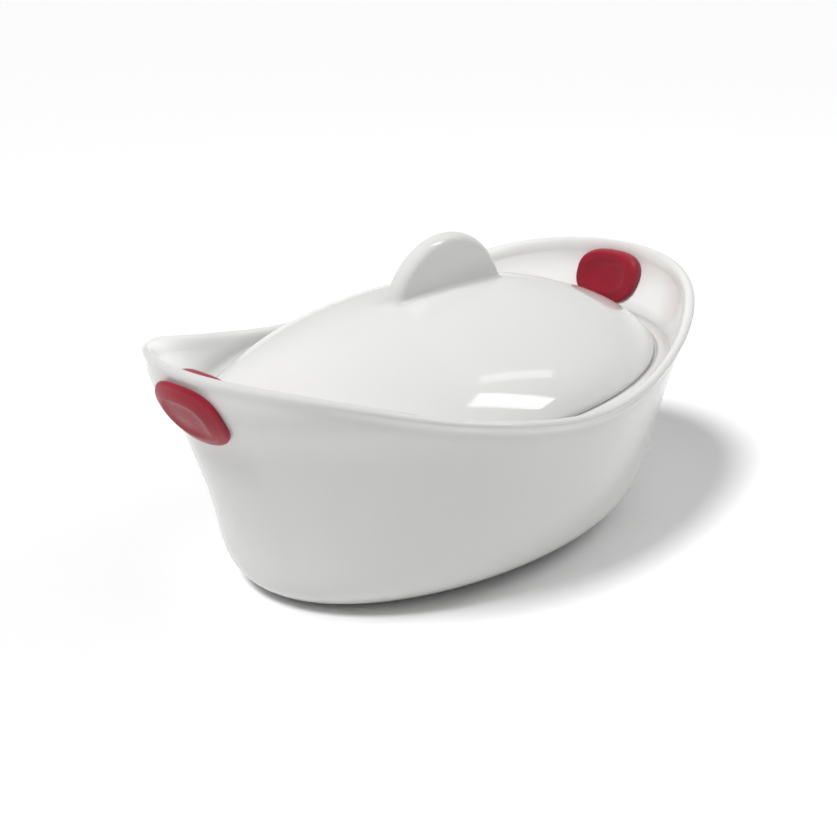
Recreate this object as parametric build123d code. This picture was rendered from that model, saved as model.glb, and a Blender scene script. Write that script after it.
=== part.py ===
from build123d import *
import math
import os

# Covered oval casserole dish, millimetres.
# +Z is up, the long axis lies along X and the origin is on the resting plane under the middle.

# ---- dish body -------------------------------------------------------------------------
# Stations of the outer wall: height, half length, half width. Every section is an ellipse.
# The top station stands above the rim, which the saddle cut then trims.
OUTER_WALL = [
    (0.0, 113.0, 60.5),
    (0.4, 117.1, 65.0),
    (1.5, 120.8, 69.2),
    (4.0, 125.3, 74.9),
    (8.0, 129.5, 81.3),
    (14.0, 132.6, 87.7),
    (22.0, 134.2, 92.6),
    (32.0, 135.4, 96.3),
    (45.0, 138.1, 99.1),
    (60.0, 142.7, 101.3),
    (75.0, 147.9, 103.9),
    (88.0, 152.8, 106.5),
    (98.0, 158.6, 108.7),
    (107.0, 163.8, 110.5),
    (116.0, 165.8, 112.0),
    (124.0, 165.2, 113.0),
    (134.0, 163.4, 114.0),
]
# Stations of the food space under the ledge, from the floor up to the ledge opening.
FOOD_SPACE = [
    (6.5, 106.0, 54.0),
    (7.6, 113.5, 62.5),
    (10.0, 118.6, 68.6),
    (14.0, 123.0, 75.4),
    (20.0, 126.8, 82.2),
    (28.0, 129.3, 88.4),
    (40.0, 131.8, 92.8),
    (54.0, 135.6, 95.2),
    (63.0, 138.2, 95.0),
    (70.0, 139.6, 93.0),
    (77.0, 139.9, 89.2),
    (82.9, 139.0, 85.6),
]
# Stations of the space over the ledge: a groove round the lid, then a cove out to the wall.
# Above them the inside runs parallel to the outer wall.
OVER_LEDGE = [
    (82.4, 146.9, 92.7),
    (83.8, 147.1, 93.0),
    (85.2, 147.5, 96.5),
]
# The saddle of the rim: distance from the middle along X, height of the rim.
RIM_SADDLE = [
    (0.0, 89.9),
    (33.0, 92.1),
    (66.0, 98.2),
    (99.0, 106.2),
    (132.0, 116.4),
    (165.0, 124.0),
    (184.0, 126.0),
]
WALL = 4.2                # wall thickness above the ledge, square to the wall
LEDGE_Z = 82.4            # top of the ledge that carries the lid
RIM_ROUND = 1.6           # rounding of both rim edges
FOOT_RING = 9.0           # width of the resting ring
FOOT_RECESS = 1.5         # depth of the hollow inside the ring

# ---- lid -------------------------------------------------------------------------------
LID_A = 145.3             # half length of the lid
LID_B = 91.0              # half width of the lid
# Rounded edge that rests on the ledge: height over the ledge, how far it lies inside the lid's size.
LID_EDGE = [(0.0, 1.7), (0.4, 0.8), (1.2, 0.2), (2.3, 0.0)]
LID_TOP_Z = 128.1         # top of the dome under the knob
LID_T = 5.4               # upright thickness of the dome at its edge
DOME_P = 1.99             # the dome falls as (1 - r^P)^Q
DOME_Q = 0.74
DOME_STEPS = [0.992, 0.98, 0.96, 0.92, 0.87, 0.8, 0.68, 0.55, 0.42, 0.3, 0.2, 0.12, 0.05, 0.015]
VAULT_STEPS = [0.88, 0.8, 0.68, 0.55, 0.42, 0.3, 0.19, 0.09]
SKIRT_GAP = 1.4           # running gap between the skirt and the ledge opening
SKIRT_T = 4.0             # thickness of the locating skirt
SKIRT_H = 4.5             # depth of the skirt below the ledge

# ---- knob, a half disc standing along the long axis ---------------------------------------
KNOB_Z = 110.6            # centre of the disc
KNOB_R = 44.5             # outer radius
KNOB_T = 10.4             # thickness, with a fully round edge
KNOB_ROOT_Z = 122.9       # the disc runs down into the thickness of the dome
KNOB_FILLET = 4.5         # blend into the dome

# ---- silicone grips in the end walls -----------------------------------------------------
OUT_Z = 102.6             # height of the middle of the outside flange
OUT_HALF_W = 21.0         # half width, across the wall
OUT_HALF_H = 14.8         # half height, along the slope of the wall
OUT_PROUD = 4.0           # how far it stands off the wall
IN_Z = 103.2
IN_HALF_W = 23.6
IN_HALF_H = 16.8
# How far the inside flange stands off the wall, by height: it thins out downwards, so that the
# lid lifts straight past it.
IN_PROUD = {75: 1.0, 88: 1.7, 98: 5.6, 107: 9.6, 116: 10.4, 124: 10.4, 134: 10.4}
NECK_HALF_W = 17.0        # the waist that fills the hole in the wall
NECK_HALF_H = 10.0
RING_W = 4.5              # raised ring round each dished face
DISH_DEPTH = 1.0          # depth of the dished face below the ring
EDGE_ROUND = 1.5          # rounding of the flange edges


def slope(stations, i, k):
    # rate of change of the half axis with height at a station
    lo = stations[max(i - 1, 0)]
    hi = stations[min(i + 1, len(stations) - 1)]
    return (hi[k] - lo[k]) / (hi[0] - lo[0])


def oval(z, a, b):
    return Plane.XY.offset(z) * Ellipse(a, b)


def wall_sections(offset, from_z):
    # sections of the outer wall moved square to itself by offset, a number or a function of height
    sections = []
    for i, (z, a, b) in enumerate(OUTER_WALL):
        if z < from_z:
            continue
        d = offset(z) if callable(offset) else offset
        da = d * math.hypot(1.0, slope(OUTER_WALL, i, 1))
        db = d * math.hypot(1.0, slope(OUTER_WALL, i, 2))
        sections.append(oval(z, a + da, b + db))
    return sections


def wall_solid(offset, from_z=0.0):
    return loft(wall_sections(offset, from_z))


def half_length(z, offset=0.0):
    # half length of the wall at a height, straight between stations
    for i in range(1, len(OUTER_WALL)):
        z0, a0, _ = OUTER_WALL[i - 1]
        z1, a1, _ = OUTER_WALL[i]
        if z <= z1:
            s = (a1 - a0) / (z1 - z0)
            return a0 + s * (z - z0) + offset * math.hypot(1.0, s), s
    raise ValueError("height above the wall")


def saddle_cutter():
    right = [(x, z) for x, z in RIM_SADDLE]
    left = [(-x, z) for x, z in reversed(RIM_SADDLE[1:])]
    pts = left + right
    rim = Spline(*pts)
    top = Polyline(pts[-1], (pts[-1][0], 180), (pts[0][0], 180), pts[0])
    face = make_face(Curve() + [rim, top])
    return extrude(Plane.XZ * face, amount=140, both=True)


def wall_plane(z, side, offset=0.0):
    # plane on the end wall: X across the wall, Y up the slope, Z square to the wall and outward
    a, s = half_length(z, offset)
    n = Vector(side, 0, -s).normalized()
    return Plane(origin=(side * a, 0, z), x_dir=(0, side, 0), z_dir=n)


def oval_prism(z, side, w, h, lo, hi, offset=0.0):
    p = wall_plane(z, side, offset)
    return extrude(p.offset(lo) * Ellipse(w, h), amount=hi - lo)


def make_wall():
    over = [oval(z, a, b) for z, a, b in OVER_LEDGE]
    return wall_solid(0.0), loft(over + wall_sections(-WALL, 87.0))


def make_dish(outer, upper):
    body = outer - upper
    body = body - loft([oval(z, a, b) for z, a, b in FOOD_SPACE])
    _, a, b = OUTER_WALL[0]
    recess = loft([
        oval(0, a - FOOT_RING, b - FOOT_RING),
        oval(FOOT_RECESS, a - FOOT_RING - 3, b - FOOT_RING - 3),
    ])
    body = body - recess
    body = body - saddle_cutter()
    return body


def round_rim(body):
    rim = []
    for e in body.edges():
        box = e.bounding_box()
        if box.min.Z > LEDGE_Z + 1 and box.size.X > 300:
            rim.append(e)
    return fillet(rim, RIM_ROUND)


def dome_height(t):
    # height of the dome where a section has t of the lid's full size
    base = LEDGE_Z + LID_EDGE[-1][0]
    return base + (LID_TOP_Z - base) * (1 - t ** DOME_P) ** DOME_Q


def make_lid():
    crown = [oval(LEDGE_Z + h, LID_A - inset, LID_B - inset) for h, inset in LID_EDGE]
    crown += [oval(dome_height(t), t * LID_A, t * LID_B) for t in DOME_STEPS]
    vault = []
    for t in VAULT_STEPS:
        drop = LID_T * (1.0 + 0.3 * (1.0 - t) ** 2)
        vault.append(oval(dome_height(t) - drop, t * LID_A, t * LID_B))
    _, a, b = FOOD_SPACE[-1]
    a = a - SKIRT_GAP
    b = b - SKIRT_GAP
    low = LEDGE_Z - SKIRT_H
    body = loft(crown) + extrude(oval(low, a, b), amount=SKIRT_H + 1.0)
    body = body - loft([oval(low, a - SKIRT_T, b - SKIRT_T)] + vault)
    return body


def make_knob():
    r = KNOB_T / 2
    flat = extrude(Plane.XZ.offset(-r) * Pos(0, KNOB_Z) * Circle(KNOB_R - r), amount=KNOB_T)
    edge = Pos(0, 0, KNOB_Z) * Rot(90, 0, 0) * Torus(KNOB_R - r, r)
    disc = flat + edge
    return disc & extrude(oval(KNOB_ROOT_Z, 80, 40), amount=80)


def blend_knob(lid):
    foot = []
    for e in lid.edges():
        box = e.bounding_box()
        if box.min.Z > KNOB_ROOT_Z and box.max.Z < LID_TOP_Z + 1 and box.size.X < 2 * KNOB_R:
            if max(box.max.Y, -box.min.Y) > KNOB_T / 2 - 0.1:
                foot.append(e)
    return fillet(foot, KNOB_FILLET)


def neck_prism(side):
    z = (OUT_Z + IN_Z) / 2
    return oval_prism(z, side, NECK_HALF_W, NECK_HALF_H, -16, 10)


def make_grip(side, outer, upper):
    # one piece of silicone: a flange on each face of the wall and a waist through it
    raised = wall_solid(OUT_PROUD, from_z=70.0)
    dished = wall_solid(OUT_PROUD - DISH_DEPTH, from_z=70.0)
    out = raised & oval_prism(OUT_Z, side, OUT_HALF_W, OUT_HALF_H, -22, 12)
    face = oval_prism(OUT_Z, side, OUT_HALF_W - RING_W, OUT_HALF_H - RING_W, -22, 12)
    out = out - outer - (face - dished)
    raised = wall_solid(lambda z: -WALL - IN_PROUD[int(z)], from_z=70.0)
    dished = wall_solid(lambda z: -WALL - IN_PROUD[int(z)] + DISH_DEPTH, from_z=70.0)
    inside = upper & oval_prism(IN_Z, side, IN_HALF_W, IN_HALF_H, -24, 12, -WALL)
    face = oval_prism(IN_Z, side, IN_HALF_W - RING_W, IN_HALF_H - RING_W, -24, 12, -WALL)
    inside = inside - raised - (face & dished)
    neck = (neck_prism(side) & outer) - upper
    return out + neck + inside


def round_grip(grip):
    # the outline of each flange is rounded where it stands off the wall
    loops = [e for e in grip.edges() if e.length > 5 * OUT_HALF_W]
    loops.sort(key=lambda e: abs(e.center().X))
    return fillet([loops[0], loops[-1]], EDGE_ROUND)


def main():
    os.makedirs("parts", exist_ok=True)
    outer, upper = make_wall()
    dish = round_rim(make_dish(outer, upper))
    for side in (-1, 1):
        dish = dish - neck_prism(side)
    lid = blend_knob(make_lid() + make_knob())
    grips = {side: round_grip(make_grip(side, outer, upper)) for side in (-1, 1)}
    export_step(dish, "parts/dish_body.step")
    export_step(lid, "parts/lid.step")
    export_step(grips[-1], "parts/grip_left.step")
    export_step(grips[1], "parts/grip_right.step")


if __name__ == "__main__":
    main()
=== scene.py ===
import bpy
import math
import numpy as np
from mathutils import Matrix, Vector


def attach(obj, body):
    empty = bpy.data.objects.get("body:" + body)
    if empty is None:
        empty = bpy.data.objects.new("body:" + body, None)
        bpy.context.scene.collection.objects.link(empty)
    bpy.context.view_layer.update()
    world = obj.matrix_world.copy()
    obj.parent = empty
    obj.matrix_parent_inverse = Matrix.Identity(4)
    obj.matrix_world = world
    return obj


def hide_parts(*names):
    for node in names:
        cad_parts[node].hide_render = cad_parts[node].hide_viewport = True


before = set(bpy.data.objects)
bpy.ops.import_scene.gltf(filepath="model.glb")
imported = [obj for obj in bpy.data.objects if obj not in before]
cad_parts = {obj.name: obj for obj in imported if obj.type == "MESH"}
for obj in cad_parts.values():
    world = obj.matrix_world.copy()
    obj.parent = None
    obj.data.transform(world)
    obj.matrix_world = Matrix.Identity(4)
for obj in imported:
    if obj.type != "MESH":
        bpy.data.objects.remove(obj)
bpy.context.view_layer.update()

MM = 0.001
TURN = 2 * math.pi

# ---------------------------------------------------------------- dimensions, millimetres
# Outer wall of the dish: height, half length, half width of each oval section.
OUTER_WALL = [
    (0.0, 113.0, 60.5), (0.4, 117.1, 65.0), (1.5, 120.8, 69.2), (4.0, 125.3, 74.9),
    (8.0, 129.5, 81.3), (14.0, 132.6, 87.7), (22.0, 134.2, 92.6), (32.0, 135.4, 96.3),
    (45.0, 138.1, 99.1), (60.0, 142.7, 101.3), (75.0, 147.9, 103.9), (88.0, 152.8, 106.5),
    (98.0, 158.6, 108.7), (107.0, 163.8, 110.5), (116.0, 165.8, 112.0), (124.0, 165.2, 113.0),
    (134.0, 163.4, 114.0),
]
# Food space under the ledge, from the floor up.
FOOD_SPACE = [
    (6.5, 106.0, 54.0), (7.6, 113.5, 62.5), (10.0, 118.6, 68.6), (14.0, 123.0, 75.4),
    (20.0, 126.8, 82.2), (28.0, 129.3, 88.4), (40.0, 131.8, 92.8), (54.0, 135.6, 95.2),
    (63.0, 138.2, 95.0), (70.0, 139.6, 93.0), (77.0, 139.9, 89.2), (82.4, 139.0, 85.8),
]
RIM_SADDLE = [
    (0.0, 89.9), (33.0, 92.1), (66.0, 98.2), (99.0, 106.2), (132.0, 116.4), (165.0, 124.0),
    (184.0, 126.0),
]
WALL = 4.2
LIP_EASE = 8.0  # how far down the inside of the lip is eased
BEAD = (0.75, 2.2, 2.2)  # roll of the lip: how proud, depth under the top, spread
HOLLOW = (-0.30, 6.6, 2.6)  # hollow under it, the same way
LEDGE_Z = 82.4
COVE = 5.6  # height over the ledge where the cove meets the wall
GROOVE_A, GROOVE_B = 147.0, 92.8
GROOVE_H = 1.9
BRINK = 1.4  # rounding of the ledge's inner edge
FOOT_RING = 9.0
FOOT_RECESS = 1.5
FOOT_SLOPE = 3.0
FOOT_TURN = 22.0  # length of the wall's curve where its rings are close together
LID_A, LID_B = 145.3, 91.0
LID_EDGE_H, LID_EDGE_IN = 2.3, 1.7
LID_TOP_Z = 128.1
LID_T = 5.4
DOME_P, DOME_Q = 1.99, 0.74
VAULT_EDGE = 0.88  # the hollow under the dome starts at this part of its oval
SKIRT_A, SKIRT_B = 137.6, 84.2
SKIRT_T, SKIRT_H = 4.0, 4.5
SKIRT_TOP_ROUND, SKIRT_TIP_ROUND = 1.2, 1.5
KNOB_Z, KNOB_R, KNOB_T = 110.6, 44.5, 10.4
KNOB_FILLET = 3.6
# Grip flanges: half width, then height of the middle and half height at the left and right end.
OUT_W, IN_W = 21.0, 23.4
OUT_Z_H = {-1: (103.4, 15.0), 1: (102.8, 14.6)}
IN_Z_H = {-1: (103.8, 17.4), 1: (102.8, 16.7)}
OUT_PROUD = 4.0
IN_PROUD = [(75.0, 1.0), (88.0, 1.7), (98.0, 5.6), (107.0, 9.6), (116.0, 10.4), (134.0, 10.4)]
NECK_W, NECK_H = 17.0, 10.0
FLANGE_ROUND = 2.4
FLANGE_CROWN = 0.9
FLANGE_TUCK = {False: 0.6, True: 1.2}  # outside, inside
# Finger rest: part of the flange that it covers, and its depth, outside and inside.
OUT_REST, IN_REST = (0.74, 1.7), (0.80, 1.2)
N_ROUND = 480  # points round the dish and the lid
N_GRIP = 160


# ---------------------------------------------------------------- curves
class Spline:
    """Natural cubic spline through rows of (parameter, value, ...)."""

    def __init__(self, t, v):
        self.t = np.asarray(t, float)
        self.v = np.asarray(v, float).reshape(len(t), -1)
        n = len(t)
        h = np.diff(self.t)
        a = np.eye(n)
        r = np.zeros_like(self.v)
        for i in range(1, n - 1):
            a[i, i - 1:i + 2] = h[i - 1], 2 * (h[i - 1] + h[i]), h[i]
            up = (self.v[i + 1] - self.v[i]) / h[i]
            dn = (self.v[i] - self.v[i - 1]) / h[i - 1]
            r[i] = 6 * (up - dn)
        self.m = np.linalg.solve(a, r)

    def __call__(self, t):
        t = np.asarray(t, float)
        i = np.clip(np.searchsorted(self.t, t) - 1, 0, len(self.t) - 2)
        h = (self.t[i + 1] - self.t[i])[..., None]
        p = ((t - self.t[i])[..., None]) / h
        q = 1 - p
        bend = ((q ** 3 - q) * self.m[i] + (p ** 3 - p) * self.m[i + 1]) * h * h / 6
        return q * self.v[i] + p * self.v[i + 1] + bend


def along(rows):
    """Spline through the rows by distance travelled, so that it may turn back or run level."""
    v = np.asarray(rows, float)
    step = np.sqrt((np.diff(v, axis=0) ** 2).sum(1))
    t = np.concatenate([[0], np.cumsum(step)])
    return Spline(t, v)


def bezier(p0, p1, p2, n, ends=(True, True), weight=0.75):
    """Rows of a conic arc from p0 to p2 whose corner is p1."""
    t = np.linspace(0, 1, n)
    t = t[(0 if ends[0] else 1):(n if ends[1] else n - 1)]
    rows = []
    for s in t:
        w0, w1, w2 = (1 - s) ** 2, 2 * s * (1 - s) * weight, s * s
        rows.append((w0 * p0 + w1 * p1 + w2 * p2) / (w0 + w1 + w2))
    return rows


def oval(a, b, th):
    return np.stack([a * np.cos(th), b * np.sin(th)], -1)


def oval_normal(a, b, th):
    n = np.stack([np.cos(th) / a, np.sin(th) / b], -1)
    return n / np.linalg.norm(n, axis=-1, keepdims=True)


def with_z(xy, z):
    z = np.broadcast_to(np.asarray(z, float), xy.shape[:-1])
    return np.concatenate([xy, z[..., None]], -1)


# ---------------------------------------------------------------- meshes
def loft_rings(name, rings, flip=False, first=None, last=None):
    """Mesh through closed rings of equal count; first and last are single closing points."""
    n = len(rings[0])
    verts = []
    faces = []
    for r in rings:
        verts.extend(map(tuple, r * MM))
    for k in range(len(rings) - 1):
        for i in range(n):
            j = (i + 1) % n
            faces.append((k * n + i, k * n + j, (k + 1) * n + j, (k + 1) * n + i))
    if first is not None:
        verts.append(tuple(np.asarray(first) * MM))
        c = len(verts) - 1
        faces.extend((c, (i + 1) % n, i) for i in range(n))
    if last is not None:
        verts.append(tuple(np.asarray(last) * MM))
        c = len(verts) - 1
        o = (len(rings) - 1) * n
        faces.extend((c, o + i, o + (i + 1) % n) for i in range(n))
    if flip:
        faces = [f[::-1] for f in faces]
    mesh = bpy.data.meshes.new(name)
    mesh.from_pydata(verts, [], faces)
    mesh.validate()
    mesh.update()
    mesh.polygons.foreach_set("use_smooth", [True] * len(mesh.polygons))
    obj = bpy.data.objects.new(name, mesh)
    bpy.context.scene.collection.objects.link(obj)
    return obj


# ---------------------------------------------------------------- the wall of the dish
WALL_CURVE = along(OUTER_WALL)
saddle = [(-x, z) for x, z in RIM_SADDLE[:0:-1]] + RIM_SADDLE
SADDLE = Spline([x for x, z in saddle], [z for x, z in saddle])
T_END = WALL_CURVE.t[-1]


def wall_at(t):
    v = WALL_CURVE(t)
    return v[..., 0], v[..., 1], v[..., 2]


T_GRID = np.linspace(0, T_END, 6000)
Z_GRID = np.maximum.accumulate(wall_at(T_GRID)[0])


def t_of_z(z):
    """Wall parameter at a height."""
    return np.interp(z, Z_GRID, T_GRID)


def outer_point(th, t):
    z, a, b = wall_at(t)
    return with_z(oval(a, b, th), z)


def wall_frame(th, t):
    """Point on the outer wall, the level direction square to it, and the lean of the wall."""
    z, a, b = wall_at(t)
    p = with_z(oval(a, b, th), z)
    n = oval_normal(a, b, th)
    e = 0.05
    d = outer_point(th, t + e) - outer_point(th, t - e)
    out = (d[..., :2] * n).sum(-1)
    lean = np.hypot(1, out / np.maximum(d[..., 2], 1e-6))
    return p, n, lean


def shifted(th, t, off):
    """Wall point moved level by the distance that gives an offset square to the wall."""
    p, n, lean = wall_frame(th, t)
    q = p.copy()
    q[..., :2] += n * (off * lean)[..., None]
    return q


def rim_t(th):
    """Wall parameter where the saddle of the rim crosses each column."""
    lo = np.full_like(th, float(t_of_z(np.array(80.0))))
    hi = np.full_like(th, T_END)
    for _ in range(50):
        mid = (lo + hi) / 2
        z, a, b = wall_at(mid)
        low = z < SADDLE(np.abs(a * np.cos(th)))[..., 0]
        lo = np.where(low, mid, lo)
        hi = np.where(low, hi, mid)
    return (lo + hi) / 2


def bead(depth):
    """Rolled lip: how far the outside stands out at a depth under the top of the rim."""
    return sum(tall * np.exp(-((depth - at) / spread) ** 2) for tall, at, spread in (BEAD, HOLLOW))


def make_dish():
    n = N_ROUND
    th = np.arange(n) * TURN / n
    tr = rim_t(th)
    zr = wall_at(tr)[0]
    rings = []
    # underside, from the middle of the recess out to the resting ring
    _, fa, fb = OUTER_WALL[0]
    for s in (0.08, 0.2, 0.35, 0.5, 0.65, 0.8, 0.92, 1.0):
        a = (fa - FOOT_RING - FOOT_SLOPE) * s
        b = (fb - FOOT_RING - FOOT_SLOPE) * s
        rings.append(with_z(oval(a, b, th), FOOT_RECESS))
    ring_in = with_z(oval(fa - FOOT_RING, fb - FOOT_RING, th), 0.0)
    edge = rings[-1]
    rings += bezier(edge, ring_in, ring_in + (ring_in - edge) * [0.4, 0.4, 0], 7, (False, True))
    # outside of the wall
    low = t_of_z(zr - WALL * 0.5)
    for s in np.linspace(0, 1, 30, endpoint=False):
        t = np.full(n, FOOT_TURN) * s ** 1.4
        rings.append(outer_point(th, t))
    for s in np.linspace(0, 1, 110):
        t = FOOT_TURN + (low - FOOT_TURN) * s
        p, nn, lean = wall_frame(th, t)
        depth = zr - p[:, 2]
        p[:, :2] += nn * (bead(depth) * lean)[:, None]
        rings.append(p)
    # lip: tight on the outside, easing over a longer way down on the inside
    outside = rings[-1]
    over = zr - LEDGE_Z
    t_in = t_of_z(zr - np.minimum(LIP_EASE, 0.5 * over))
    inside = shifted(th, t_in, -WALL)
    p, nn, lean = wall_frame(th, tr)
    crest = p - with_z(nn * (WALL * 0.42 * lean)[:, None], 0.0)
    for be in np.linspace(0, math.pi / 2, 10)[1:]:
        q = crest + (outside - crest) * math.cos(be)
        q[:, 2] = outside[:, 2] + (zr - outside[:, 2]) * math.sin(be)
        rings.append(q)
    # from this ring on the inside is painted lighter, as painted light
    painted_light_start = len(rings) - 2
    for be in np.linspace(0, math.pi / 2, 15)[1:]:
        q = crest + (inside - crest) * math.sin(be)
        q[:, 2] = inside[:, 2] + (zr - inside[:, 2]) * math.cos(be)
        rings.append(q)
    # inside of the wall down to the ledge
    t_stop = t_of_z(LEDGE_Z + np.minimum(COVE, 0.42 * over))
    for s in np.linspace(0, 1, 60)[1:]:
        t = t_in + (t_stop - t_in) * s
        rings.append(shifted(th, t, -WALL))
    # cove, groove round the lid, ledge
    shoulder = with_z(oval(GROOVE_A + 0.3, GROOVE_B + 0.5, th), LEDGE_Z + GROOVE_H)
    corner = rings[-1] * [1, 1, 0] + [0, 0, LEDGE_Z + GROOVE_H + 0.5]
    rings += bezier(rings[-1], corner, shoulder, 12, (False, True))
    bottom = with_z(oval(GROOVE_A, GROOVE_B, th), LEDGE_Z)
    _, a, b = FOOD_SPACE[-1]
    brink = with_z(oval(a, b, th), LEDGE_Z)
    run = brink - bottom
    length = np.linalg.norm(run, axis=1)[:, None]
    a_in = bottom + run / length * 0.8
    rings += bezier(rings[-1], bottom, a_in, 6, (False, True))
    b_in = brink - run / length * BRINK
    for s in (0.33, 0.66):
        rings.append(a_in + (b_in - a_in) * s)
    food = along(FOOD_SPACE[::-1])
    v = food(BRINK)
    below = with_z(oval(v[1], v[2], th), v[0])
    rings += bezier(b_in, brink, below, 7, (True, True))
    for t in np.linspace(BRINK, food.t[-1], 90)[1:]:
        v = food(t)
        rings.append(with_z(oval(v[1], v[2], th), v[0]))
    _, a, b = FOOD_SPACE[0]
    for s in (0.97, 0.92, 0.85, 0.75, 0.62, 0.48, 0.34, 0.2, 0.08):
        rings.append(with_z(oval(a * s, b * s, th), FOOD_SPACE[0][0]))
    middle = (0, 0, FOOT_RECESS)
    floor_mid = (0, 0, FOOD_SPACE[0][0])
    obj = loft_rings("dish_shell", rings, first=middle, last=floor_mid)
    # the inside attribute: the inside is painted lighter, as painted light standing in for light on
    # the inner walls; the ledge and the cove over it go back to the outside's darker level, as
    # painted shade in that recess
    painted_light_attr = obj.data.attributes.new("inside", "FLOAT", "POINT")
    level = np.clip((np.arange(len(rings)) - painted_light_start) / 6.0, 0, 1)[:, None]
    height = np.array([r[:, 2] for r in rings])
    ledge_painted_shade = (height > LEDGE_Z - 1) * np.clip((94.0 - height) / 7.0, 0, 1)
    level = np.concatenate([(level * (1 - ledge_painted_shade)).ravel(), [0.0, 1.0]])
    painted_light_attr.data.foreach_set("value", level.astype(np.float32))
    return obj


# ---------------------------------------------------------------- lid
def dome(xy):
    """Height of the lid's outer surface over a point."""
    t = np.hypot(xy[..., 0] / LID_A, xy[..., 1] / LID_B)
    base = LEDGE_Z + LID_EDGE_H
    return base + (LID_TOP_Z - base) * np.clip(1 - np.minimum(t, 1.0) ** DOME_P, 0, 1) ** DOME_Q


def fin_ring(height, psi):
    """Section of the knob's disc at a height above the dome."""
    x_end = np.array(KNOB_R * 0.9)
    for _ in range(40):
        z = dome(np.array([x_end, 0.0])) + height
        x_end = np.sqrt(max(KNOB_R ** 2 - (z - KNOB_Z) ** 2, 0.0)) * 0.5 + x_end * 0.5
    x = x_end * np.cos(psi)
    y = np.zeros_like(x)
    r = KNOB_T / 2
    for _ in range(6):
        z = dome(np.stack([x, y], -1)) + height
        d = np.clip(KNOB_R - np.hypot(x, z - KNOB_Z), 0, r)
        y = np.sqrt(np.maximum(r * r - (r - d) ** 2, 0)) * np.sign(np.sin(psi))
    return np.stack([x, y, z], -1)


def make_lid():
    n = N_ROUND
    psi = (np.arange(n) + 0.5) * TURN / n
    peak = KNOB_Z + KNOB_R
    full = peak - LID_TOP_Z
    rings = []
    # knob, from its top down to the start of the blend
    z0 = float(dome(np.array([0.0, 0.0])))
    end = (z0 + KNOB_FILLET - KNOB_Z) / KNOB_R
    for al in np.linspace(0.03, math.acos(end), 60):
        rings.append(fin_ring(KNOB_Z + KNOB_R * math.cos(al) - z0, psi))
    up = rings[-1]
    foot = fin_ring(0.0, psi)
    tan = np.roll(foot, -1, 0) - np.roll(foot, 1, 0)
    out = np.stack([tan[:, 1], -tan[:, 0]], -1)
    out /= np.linalg.norm(out, axis=1)[:, None]
    away = foot[:, :2] + out * KNOB_FILLET
    spread = with_z(away, dome(away))
    for r in bezier(up, foot, spread, 14, (False, True)):
        rings.append(r)
    # dome, from the blend out to its edge, closer together where it gets steep
    edge = oval(LID_A, LID_B, psi)
    for s in np.linspace(0, 1, 110)[1:]:
        k = 1 - (1 - s) ** 2.2
        q = away + (edge - away) * k
        rings.append(with_z(q, dome(q)))
    rings[-1][:, 2] = LEDGE_Z + LID_EDGE_H
    en = oval_normal(LID_A, LID_B, psi)
    under = with_z(edge - en * LID_EDGE_IN, LEDGE_Z)
    rings += bezier(rings[-1], with_z(edge, LEDGE_Z), under, 9, (False, True))
    # seat, skirt and the hollow under the dome
    skirt = oval(SKIRT_A, SKIRT_B, psi)
    sn = oval_normal(SKIRT_A, SKIRT_B, psi)
    low = LEDGE_Z - SKIRT_H
    seat = with_z(skirt, LEDGE_Z)
    r_top, r_tip = SKIRT_TOP_ROUND, SKIRT_TIP_ROUND
    rings += bezier(seat + with_z(sn * r_top, 0.0), seat, seat - [0, 0, r_top], 5)
    tip = with_z(skirt, low)
    rings += bezier(tip + [0, 0, r_tip], tip, tip - with_z(sn * r_tip, 0.0), 6)
    inner = skirt - sn * SKIRT_T
    tip = with_z(inner, low)
    rings += bezier(tip + with_z(sn * r_tip, 0.0), tip, tip + [0, 0, r_tip], 6)
    v_edge = oval(LID_A * VAULT_EDGE, LID_B * VAULT_EDGE, psi)
    shoulder = with_z(v_edge, vault(v_edge))
    corner = with_z(inner, shoulder[:, 2] - 1.5)
    rings += bezier(with_z(inner, LEDGE_Z + 1), corner, shoulder, 10, weight=0.9)
    for s in np.linspace(VAULT_EDGE, 0.03, 70)[1:]:
        q = oval(LID_A * s, LID_B * s, psi)
        rings.append(with_z(q, vault(q)))
    zc = float(vault(np.array([0.0, 0.0])))
    return loft_rings("lid_shell", rings, flip=True, first=(0, 0, peak), last=(0, 0, zc))


def vault(xy):
    """Height of the lid's hollow underside over a point."""
    t = np.hypot(xy[..., 0] / LID_A, xy[..., 1] / LID_B)
    return dome(xy) - LID_T * (1 + 0.3 * (1 - t) ** 2)


# ---------------------------------------------------------------- grips
def outline(w, h, inset, ph, power=2.5):
    """Superellipse, drawn in by inset."""
    c, s = np.cos(ph), np.sin(ph)
    k = (np.abs(c) ** power + np.abs(s) ** power) ** (-1 / power)
    return (w - inset) * k * c, (h - inset) * k * s


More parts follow.
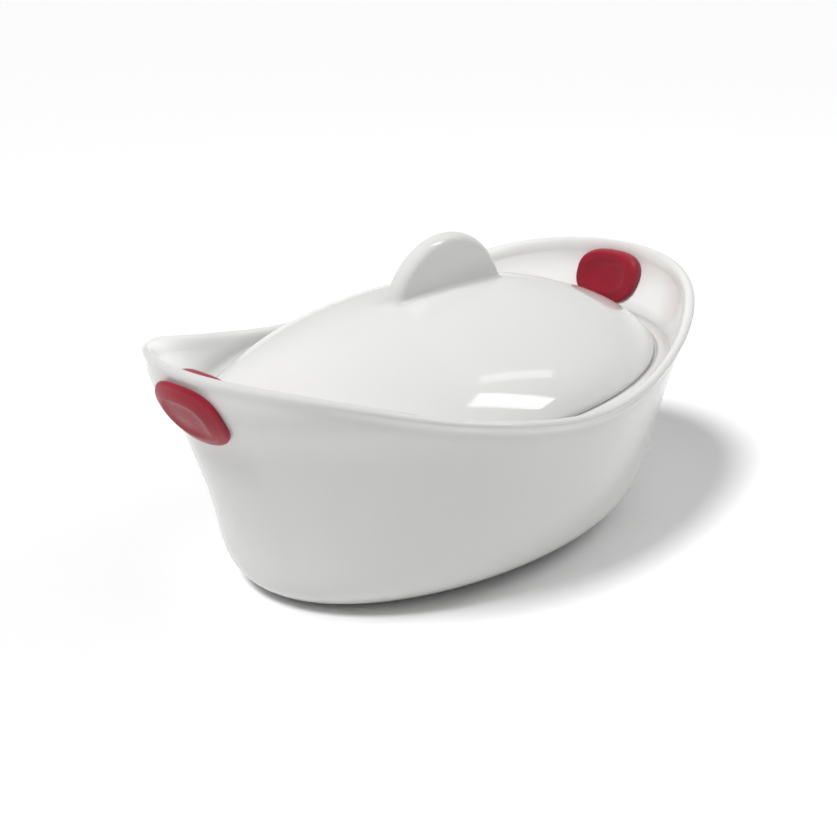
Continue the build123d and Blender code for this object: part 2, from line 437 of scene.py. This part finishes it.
def make_grip(side, name):
    ph = np.arange(N_GRIP) * TURN / N_GRIP

    def flange(w, h, zc, proud, rest, dip, inner):
        """Rings from the middle of the finger rest out to the foot of the flange on the wall."""
        rows = []
        top = FLANGE_ROUND

        def place(inset, height):
            u, v = outline(w, h, inset, ph)
            return on_pad(side, zc, u, v, height, inner)

        u, v = outline(w, h, top, ph)
        for k in np.linspace(0.02, 1.0, 44):
            hollow = dip * np.clip(1 - (k / rest) ** 5.0, 0, 1) ** 1.5
            crown = FLANGE_CROWN * np.clip((k - 0.55) / 0.45, 0, 1) ** 2.5
            rows.append(on_pad(side, zc, u * k, v * k, lambda z: proud(z) - hollow - crown, inner))
        for be in np.linspace(0, math.pi / 2, 9)[1:]:
            inset = top - top * math.sin(be)
            drop = 0.45 * (1 - math.cos(be))
            rows.append(place(inset, lambda z: (proud(z) - FLANGE_CROWN) * (1 - drop)))
        tuck = FLANGE_TUCK[inner]
        for s in (0.35, 0.7, 1.0):
            rows.append(place(tuck * s ** 2, lambda z: (proud(z) - FLANGE_CROWN) * 0.55 * (1 - s)))
        return rows

    out_z, out_h = OUT_Z_H[side]
    in_z, in_h = IN_Z_H[side]
    out = flange(OUT_W, out_h, out_z, lambda z: OUT_PROUD + 0.0 * z, *OUT_REST, False)
    inn = np.array(IN_PROUD)
    ins = flange(IN_W, in_h, in_z, lambda z: np.interp(z, inn[:, 0], inn[:, 1]), *IN_REST, True)
    nz = (out_z + in_z) / 2

    def flat(z):
        return 0.0 * z

    neck_o = on_pad(side, nz, NECK_W * np.cos(ph), NECK_H * np.sin(ph), flat, False)
    neck_i = on_pad(side, nz, NECK_W * np.cos(ph), NECK_H * np.sin(ph), flat, True)
    rings = out + [neck_o, neck_i] + ins[::-1]
    return loft_rings(name, rings, flip=True, first=out[0].mean(0), last=ins[0].mean(0))


def on_pad(side, zc, u, v, height, inner):
    """Point of a grip: u across and v up the slope from its middle, standing off the face."""
    t3 = t_of_z(np.array([zc - 0.5, zc, zc + 0.5]))
    a3 = wall_at(t3)[1]
    slope = a3[2] - a3[0]
    c = 1 / math.hypot(1, slope)
    z = zc + v * c
    for _ in range(25):
        t = t_of_z(z)
        _, aa, bb = wall_at(t)
        yy = u / bb
        x = aa * np.sqrt(1 - yy * yy)
        z = 0.5 * z + 0.5 * (zc + (v - (x - a3[1]) * slope * c) / c)
    th = np.arctan2(u / bb, x / aa)
    p, nn, lean = wall_frame(th, t)
    up = outer_point(th, t + 0.05) - outer_point(th, t - 0.05)
    rnd = outer_point(th + 0.001, t) - outer_point(th - 0.001, t)
    nrm = np.cross(rnd, up)
    nrm /= np.linalg.norm(nrm, axis=-1, keepdims=True)
    off = height(p[:, 2])[:, None]
    if inner:
        p[:, :2] -= nn * (WALL * lean)[:, None]
        p -= nrm * off
    else:
        p += nrm * off
    p[:, :2] *= side
    return p


dish = make_dish()
lid = make_lid()
grip_left = make_grip(-1, "grip_left_silicone")
grip_right = make_grip(1, "grip_right_silicone")


# ---------------------------------------------------------------- materials
class Nodes:
    """Small helper that adds nodes to a material and links them."""

    def __init__(self, name):
        self.mat = bpy.data.materials.new(name)
        self.mat.use_nodes = True
        self.tree = self.mat.node_tree
        self.bsdf = self.tree.nodes["Principled BSDF"]
        self.coord = self.tree.nodes.new("ShaderNodeTexCoord").outputs["Object"]

    def add(self, kind, **values):
        node = self.tree.nodes.new("ShaderNode" + kind)
        for key, value in values.items():
            if hasattr(node, key):
                setattr(node, key, value)
            else:
                self.plug(value, node.inputs[key.replace("_", " ")])
        return node

    def plug(self, value, socket):
        if isinstance(value, bpy.types.NodeSocket):
            self.tree.links.new(value, socket)
        else:
            socket.default_value = value

    def noise(self, scale, detail=2.0, rough=0.5):
        node = self.add("TexNoise", Vector=self.coord, Scale=scale, Detail=detail, Roughness=rough)
        return node.outputs["Fac"]

    def ramp(self, value, lo, hi, to_lo=0.0, to_hi=1.0):
        node = self.add("MapRange", Value=value)
        for name, v in (("From Min", lo), ("From Max", hi), ("To Min", to_lo), ("To Max", to_hi)):
            node.inputs[name].default_value = v
        return node.outputs["Result"]

    def mix(self, fac, a, b):
        node = self.tree.nodes.new("ShaderNodeMix")
        node.data_type = "RGBA"
        self.plug(fac, node.inputs["Factor"])
        self.plug(a, node.inputs["A"])
        self.plug(b, node.inputs["B"])
        return node.outputs["Result"]

    def math(self, op, a, b=0.5):
        node = self.tree.nodes.new("ShaderNodeMath")
        node.operation = op
        self.plug(a, node.inputs[0])
        self.plug(b, node.inputs[1])
        return node.outputs[0]

    def bump(self, height, distance, strength=1.0, under=None):
        node = self.add("Bump", Height=height, Distance=distance, Strength=strength)
        if under is not None:
            self.plug(under, node.inputs["Normal"])
        return node.outputs["Normal"]

    def set(self, **values):
        for key, value in values.items():
            self.plug(value, self.bsdf.inputs[key.replace("_", " ")])


def make_glaze(name, white, inner, rough):
    """White glaze; inner is the brightness inside the dish where the inside attribute is set, painted
    light standing in for light on the inner walls.
    """
    m = Nodes(name)
    painted_light_mask = m.add("Attribute", attribute_name="inside").outputs["Fac"]
    shade = m.ramp(painted_light_mask, 0.0, 1.0, white, inner)
    cloud = m.ramp(m.noise(14.0, 3.0), 0.35, 0.65, 0.985, 1.012)
    level = m.math("MULTIPLY", shade, cloud)
    body = m.add("CombineColor")
    m.plug(level, body.inputs[0])
    m.plug(level, body.inputs[1])
    m.plug(m.math("MULTIPLY", level, 0.985), body.inputs[2])
    wave = m.bump(m.noise(38.0, 1.0), 0.00009)
    peel = m.bump(m.noise(420.0, 2.0), 0.000004, under=wave)
    m.set(Base_Color=body.outputs[0], Normal=peel, IOR=1.46)
    m.set(Roughness=m.ramp(m.noise(90.0, 3.0), 0.3, 0.7, rough - 0.02, rough + 0.03))
    return m.mat


def make_silicone():
    """Dark red silicone with a fine satin grain."""
    m = Nodes("dark_red_silicone")
    cloud = m.ramp(m.noise(60.0, 4.0), 0.35, 0.65)
    body = m.mix(cloud, (0.262, 0.0085, 0.022, 1), (0.305, 0.010, 0.027, 1))
    grain = m.bump(m.noise(3200.0, 2.0), 0.000012)
    m.set(Base_Color=body, Normal=grain, IOR=1.38)
    m.set(Roughness=m.ramp(m.noise(500.0, 3.0), 0.3, 0.7, 0.34, 0.44))
    return m.mat


# Dish and lid are one glaze set to two brightnesses as painted light and shade: the dish's outside
# (0.670) darker as painted shade, the lid (0.718) lighter as painted light, and the dish's inside
# (0.855) lighter still as painted light.
glaze = make_glaze("white_glaze_painted_light_and_shade", 0.670, 0.855, 0.12)
lid_glaze = make_glaze("lid_glaze", 0.718, 0.718, 0.065)
silicone = make_silicone()
for piece, mat in ((dish, glaze), (lid, lid_glaze), (grip_left, silicone), (grip_right, silicone)):
    piece.data.materials.append(mat)

# ---------------------------------------------------------------- stage, light, camera
floor_mesh = bpy.data.meshes.new("floor")
floor_mesh.from_pydata([(-60, -60, 0), (60, -60, 0), (60, 60, 0), (-60, 60, 0)], [], [(0, 1, 2, 3)])
floor = bpy.data.objects.new("floor", floor_mesh)
bpy.context.scene.collection.objects.link(floor)
paper = Nodes("studio_floor")
paper.set(Base_Color=(0.97, 0.97, 0.97, 1), Roughness=0.9, Specular_IOR_Level=0.1)
floor_mesh.materials.append(paper.mat)

scene = bpy.context.scene
scene.view_settings.view_transform = "Standard"
world = bpy.data.worlds.new("studio")
scene.world = world
world.use_nodes = True
# White room: the light that it gives is dim at the horizon and brighter overhead.
HORIZON, ZENITH, REFLECTED = 0.10, 0.28, 0.70
wt = world.node_tree
sky = wt.nodes.new("ShaderNodeSeparateXYZ")
wt.links.new(wt.nodes.new("ShaderNodeTexCoord").outputs["Generated"], sky.inputs[0])
rise = wt.nodes.new("ShaderNodeMapRange")
wt.links.new(sky.outputs["Z"], rise.inputs["Value"])
rise.inputs["To Min"].default_value = HORIZON
rise.inputs["To Max"].default_value = ZENITH
level = rise.outputs["Result"]
# The glaze reflects the white walls of the room, and the room itself shows white.
ray = wt.nodes.new("ShaderNodeLightPath")
for kind, white in (("Is Glossy Ray", REFLECTED), ("Is Camera Ray", 1.0)):
    pick = wt.nodes.new("ShaderNodeMix")
    wt.links.new(ray.outputs[kind], pick.inputs["Factor"])
    wt.links.new(level, pick.inputs["A"])
    pick.inputs["B"].default_value = white
    level = pick.outputs["Result"]
wt.links.new(level, wt.nodes["Background"].inputs["Strength"])
wt.nodes["Background"].inputs["Color"].default_value = (1, 1, 1, 1)


def softbox(name, azimuth, elevation, distance, width, height, watts, at, spread=180):
    """Area light seen from a point on the object at a compass angle and a height angle."""
    a, e = math.radians(azimuth), math.radians(elevation)
    way = Vector((math.cos(a) * math.cos(e), math.sin(a) * math.cos(e), math.sin(e)))
    data = bpy.data.lights.new(name, "AREA")
    data.shape = "RECTANGLE"
    data.size, data.size_y = width, height
    data.energy = watts
    data.spread = math.radians(spread)
    lamp = bpy.data.objects.new(name, data)
    lamp.location = Vector(at) + way * distance
    lamp.rotation_mode = "QUATERNION"
    lamp.rotation_quaternion = way.to_track_quat("Z", "Y")
    scene.collection.objects.link(lamp)
    return lamp


def sun(name, azimuth, elevation, angle, strength):
    """Even light over the whole floor from a round source of the given angle."""
    a, e = math.radians(azimuth), math.radians(elevation)
    way = Vector((math.cos(a) * math.cos(e), math.sin(a) * math.cos(e), math.sin(e)))
    data = bpy.data.lights.new(name, "SUN")
    data.angle = math.radians(angle)
    data.energy = strength
    lamp = bpy.data.objects.new(name, data)
    lamp.location = way * 3
    lamp.rotation_mode = "QUATERNION"
    lamp.rotation_quaternion = way.to_track_quat("Z", "Y")
    lamp.visible_glossy = False
    scene.collection.objects.link(lamp)


sun("key", 167, 61, 17, 2.50)
sun("fill", -50, 62, 45, 0.36)
softbox("lid_streak", -41, 45, 1.3, 0.186, 0.62, 2.7, at=(-0.04, -0.075, 0.097))
softbox("lid_streak_faint", -20, 48.5, 1.3, 0.10, 0.46, 0.36, at=(-0.03, -0.070, 0.105))

end_lamp = softbox("left_end", -60, 36, 0.34, 0.05, 0.05, 0.006, at=(-0.140, 0.062, 0.106), spread=18)
end_lamp.visible_glossy = False
end_lamp.visible_camera = False

# camera: compass angle and height angle, aim, distance and lens
AZ, EL = math.radians(-47.82), math.radians(21.41)
DISTANCE, LENS, SENSOR = 0.60774, 49.17, 36
back = Vector((math.sin(AZ) * math.cos(EL), -math.cos(AZ) * math.cos(EL), math.sin(EL)))
right = Vector((math.cos(AZ), math.sin(AZ), 0))
up = right.cross(-back)
aim = Vector((0, 0, 0.060)) + right * -0.01295 + up * -0.0046
cam_data = bpy.data.cameras.new("camera")
cam_data.lens = LENS
cam_data.sensor_width = SENSOR
cam = bpy.data.objects.new("camera", cam_data)
cam.location = aim + back * DISTANCE
cam.rotation_mode = "QUATERNION"
cam.rotation_quaternion = (-back).to_track_quat("-Z", "Y")
cam_data.clip_start = 0.01
bpy.context.scene.collection.objects.link(cam)
bpy.context.scene.camera = cam

# ---------------------------------------------------------------- pieces in the frame
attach(dish, "dish")
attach(grip_left, "dish")
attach(grip_right, "dish")
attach(lid, "lid")
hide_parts("dish_body")
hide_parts("lid")
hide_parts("grip_left")
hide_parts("grip_right")
